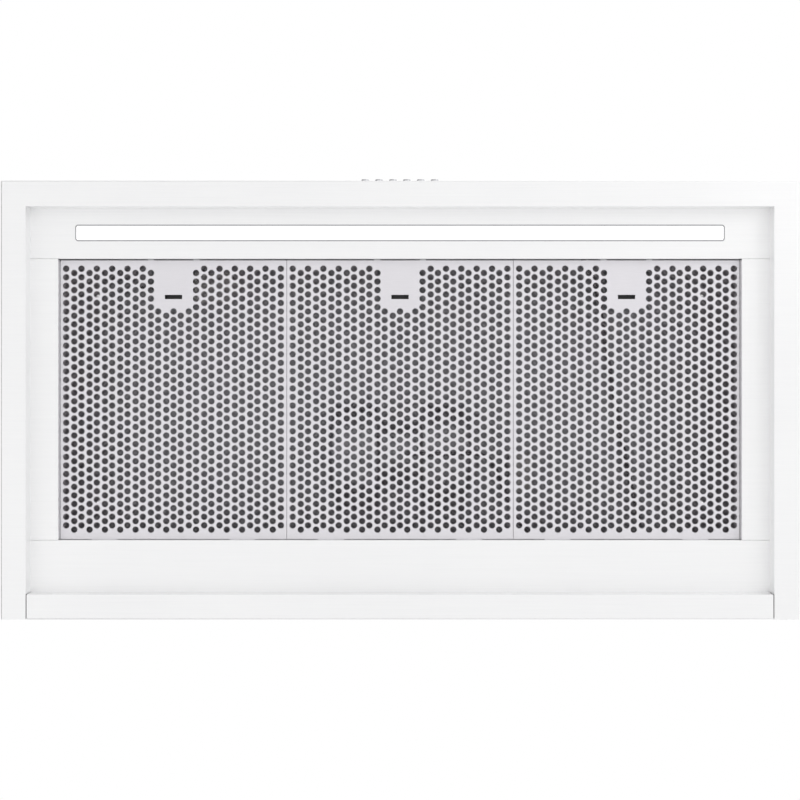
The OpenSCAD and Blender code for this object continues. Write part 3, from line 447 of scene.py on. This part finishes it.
def makeScrew(low, high):
    radius, shank = (high.x - low.x) / 2, panScrew["shankMm"] * mm
    centre = Vector(((low.x + high.x) / 2, (low.y + high.y) / 2, 0))
    headBase = high.z - panScrew["headMm"] * mm
    land, crown = panScrew["landMm"] * mm, panScrew["crownMm"] * mm
    # head and shank turned in one, open where the recess goes
    outline = [(high.z, land)]
    for i in range(1, panScrew["arcSteps"] + 1):
        turn = math.pi / 2 * i / panScrew["arcSteps"]
        outline.append((high.z - crown * (1 - math.cos(turn)), land + (radius - land) * math.sin(turn)))
    outline += [(headBase, radius), (headBase, shank), (low.z + panScrew["tipMm"] * mm, shank),
                (low.z, shank * panScrew["tipShare"]), (low.z, 0)]
    shape = lathe(outline, centre, (0, 0, 1), panScrew["steps"])
    # the cross is a grid of 3 by 3 without its corners, sunk into the head
    recess = bmesh.new()
    grid = bmesh.ops.create_grid(recess, x_segments=3, y_segments=3, size=panScrew["crossMm"] * mm / 2)["verts"]
    for vert in grid:
        for axis in (0, 1):
            if abs(vert.co[axis]) < panScrew["crossMm"] * mm / 3:
                vert.co[axis] = math.copysign(panScrew["slotMm"] * mm / 2, vert.co[axis])
    corners = [face for face in recess.faces
               if min(abs(face.calc_center_median()[axis]) for axis in (0, 1)) > panScrew["slotMm"] * mm / 2]
    bmesh.ops.delete(recess, geom=corners, context="FACES")
    bmesh.ops.translate(recess, verts=recess.verts, vec=centre + Vector((0, 0, high.z)))
    addMesh(shape, recess)
    rims = [edge for edge in shape.edges if edge.is_boundary]
    floor = [face for face in shape.faces if all(abs(vert.co.z - high.z) < weld / 10 for vert in face.verts)]
    bmesh.ops.triangle_fill(shape, edges=rims, use_beauty=True)
    sunk = bmesh.ops.extrude_face_region(shape, geom=floor)["geom"]
    bmesh.ops.delete(shape, geom=[face for face in floor if face.is_valid], context="FACES_ONLY")
    bottom = [item for item in sunk if isinstance(item, bmesh.types.BMVert)]
    bmesh.ops.translate(shape, verts=bottom, vec=(0, 0, -panScrew["recessMm"] * mm))
    taper = panScrew["recessTaper"]
    bmesh.ops.scale(shape, verts=bottom, vec=(taper, taper, 1), space=Matrix.Translation(-centre))
    bmesh.ops.remove_doubles(shape, verts=shape.verts, dist=weld)
    bmesh.ops.recalc_face_normals(shape, faces=shape.faces)
    return shape


for node in ("panel_screws", "collar_screws", "blower_screws"):
    shape = bmesh.new()
    for low, high in solidBoxes(node):
        addMesh(shape, makeScrew(low, high))
    piece = placePiece(node + "_cross", shape, node)
    piece.data.set_sharp_from_angle(angle=math.radians(panScrew["sharpDegrees"]))
print("screws made")

# leads: the sheath is drawn smooth over the run that the model gives
for node in ("control_lead", "motor_lead", "lamp_lead"):
    shape = bmesh.new()
    shape.from_mesh(nodes[node].data)
    bmesh.ops.remove_doubles(shape, verts=shape.verts, dist=weld)
    piece = placePiece(node + "_sheath", shape, node)
    rounding = piece.modifiers.new("rounding", "SUBSURF")
    rounding.levels = rounding.render_levels = 1
print("leads made")

# studio: a pale floor below the camera, a white room darker to the left and the rear, and two soft lights
studio = {
    "left": 0.3, "right": 1.4,      # how bright the room is on each hand,
    "front": 1.14, "rear": 0.82,
    "low": 0.55, "high": 1.22,      # and from the horizon up
    "smoothTo": 0.4,                # how far to the right the room is at its brightest
    "floorDrop": 2.4, "floorSize": 14.0,
    "mainPlace": (1.7, -1.2, -1.3), "mainSize": 1.1, "mainPower": 6.0,
    "fillPlace": (-1.6, 0.6, -1.6), "fillSize": 1.8, "fillPower": 0.5,
}

world = bpy.data.worlds.new("room")
world.use_nodes = True
world.node_tree.nodes.clear()
room = world.node_tree
outward = addNode(room, "ShaderNodeTexCoord").outputs["Generated"]
wayOut = addNode(room, "ShaderNodeSeparateXYZ", inputs={"Vector": outward})
acrossRoom = addNode(room, "ShaderNodeMapRange", {"interpolation_type": "SMOOTHSTEP"}, {
    "Value": wayOut.outputs["X"], "From Min": -1.0, "From Max": studio["smoothTo"],
    "To Min": studio["left"], "To Max": studio["right"]})
alongRoom = addNode(room, "ShaderNodeMapRange", inputs={
    "Value": wayOut.outputs["Y"], "From Min": -1.0, "To Min": studio["front"], "To Max": studio["rear"]})
upRoom = addNode(room, "ShaderNodeMapRange", inputs={
    "Value": wayOut.outputs["Z"], "To Min": studio["low"], "To Max": studio["high"]})
level = addNode(room, "ShaderNodeMath", {"operation": "MULTIPLY"}, {
    0: acrossRoom.outputs[0], 1: alongRoom.outputs[0]})
shade = addNode(room, "ShaderNodeMath", {"operation": "MULTIPLY"}, {0: level.outputs[0], 1: upRoom.outputs[0]})
seen = addNode(room, "ShaderNodeLightPath").outputs["Is Camera Ray"]
background = addNode(room, "ShaderNodeBackground", inputs={
    "Color": colour("#FFFFFF"), "Strength": blendFloat(room, seen, shade.outputs[0], 1.0)})
addNode(room, "ShaderNodeOutputWorld", inputs={"Surface": background.outputs[0]})
bpy.context.scene.world = world

floorShape = bmesh.new()
bmesh.ops.create_grid(floorShape, x_segments=1, y_segments=1, size=studio["floorSize"] / 2)
bmesh.ops.translate(floorShape, verts=floorShape.verts, vec=(0, 0, rimZ - studio["floorDrop"]))
floorMesh = bpy.data.meshes.new("floor")
floorShape.to_mesh(floorMesh)
floorShape.free()
floorMesh.materials.append(newMaterial("floor_paint", **{"Base Color": colour("#F6F6F6"), "Roughness": 0.9})[0])
floor = bpy.data.objects.new("floor", floorMesh)
bpy.context.scene.collection.objects.link(floor)


def softLight(name, place, size, power):
    lightData = bpy.data.lights.new(name, "AREA")
    lightData.size = size
    lightData.energy = power
    light = bpy.data.objects.new(name, lightData)
    light.location = Vector(place) + Vector((0, 0, rimZ))
    light.rotation_euler = (Vector((0, 0, rimZ)) - light.location).to_track_quat("-Z", "Y").to_euler()
    bpy.context.scene.collection.objects.link(light)


softLight("main_light", studio["mainPlace"], studio["mainSize"], studio["mainPower"])
softLight("fill_light", studio["fillPlace"], studio["fillSize"], studio["fillPower"])
bpy.context.scene.view_settings.view_transform = "Standard"
print("studio made")
